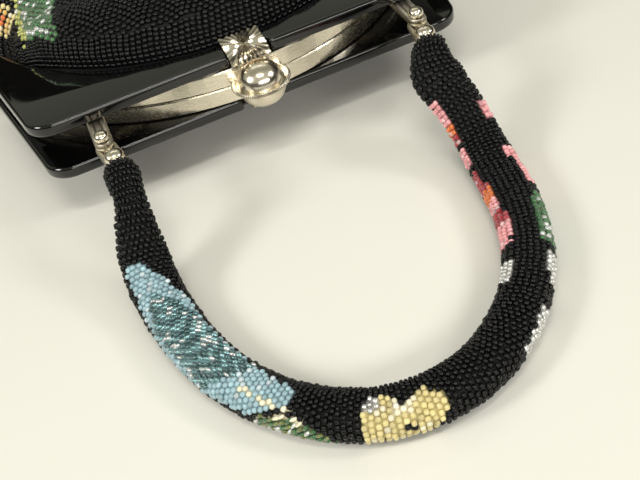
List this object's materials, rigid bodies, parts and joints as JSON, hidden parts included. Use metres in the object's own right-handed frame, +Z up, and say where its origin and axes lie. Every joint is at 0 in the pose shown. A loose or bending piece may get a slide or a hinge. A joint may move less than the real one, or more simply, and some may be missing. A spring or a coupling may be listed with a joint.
{
  "type": "beaded handbag",
  "caption": "Evening bag with a seed-beaded pouch and handle, glossy black frame plates, arched pale metal half-frames and a ball clasp, lying on its back.",
  "frame": {"origin": "middle of the footprint on the table", "axes": "X along the frame, the handle towards -Y and the pouch towards +Y, +Z up from the table on which the bag lies on its back"},
  "size_m": [0.208, 0.3268, 0.0616],
  "materials": {
    "black_acrylic": "polished black acrylic sheet with rounded edges and faint hairline scratches",
    "pale_nickel": "bright pale nickel, lightly brushed on the strips and polished on the domes, slightly worn",
    "handle_beads": "opaque glossy black seed beads with flowers in blue, teal, yellow, green and pink beads",
    "body_beads": "opaque glossy black seed beads sewn on black cloth in close rows"
  },
  "bodies": {
    "root": {"back_half_frame": "pale_nickel", "back_plate": "black_acrylic", "bag_body": "body_beads", "clasp_back": "pale_nickel", "clasp_front": "pale_nickel", "front_half_frame": "pale_nickel", "front_plate": "black_acrylic", "handle": "handle_beads", "left_handle_pin": "pale_nickel", "left_hinge_rivet": "pale_nickel", "left_link": "pale_nickel", "left_lug": "pale_nickel", "left_lug_pin": "pale_nickel", "right_handle_pin": "pale_nickel", "right_hinge_rivet": "pale_nickel", "right_link": "pale_nickel", "right_lug": "pale_nickel", "right_lug_pin": "pale_nickel"}
  },
  "joints": []
}
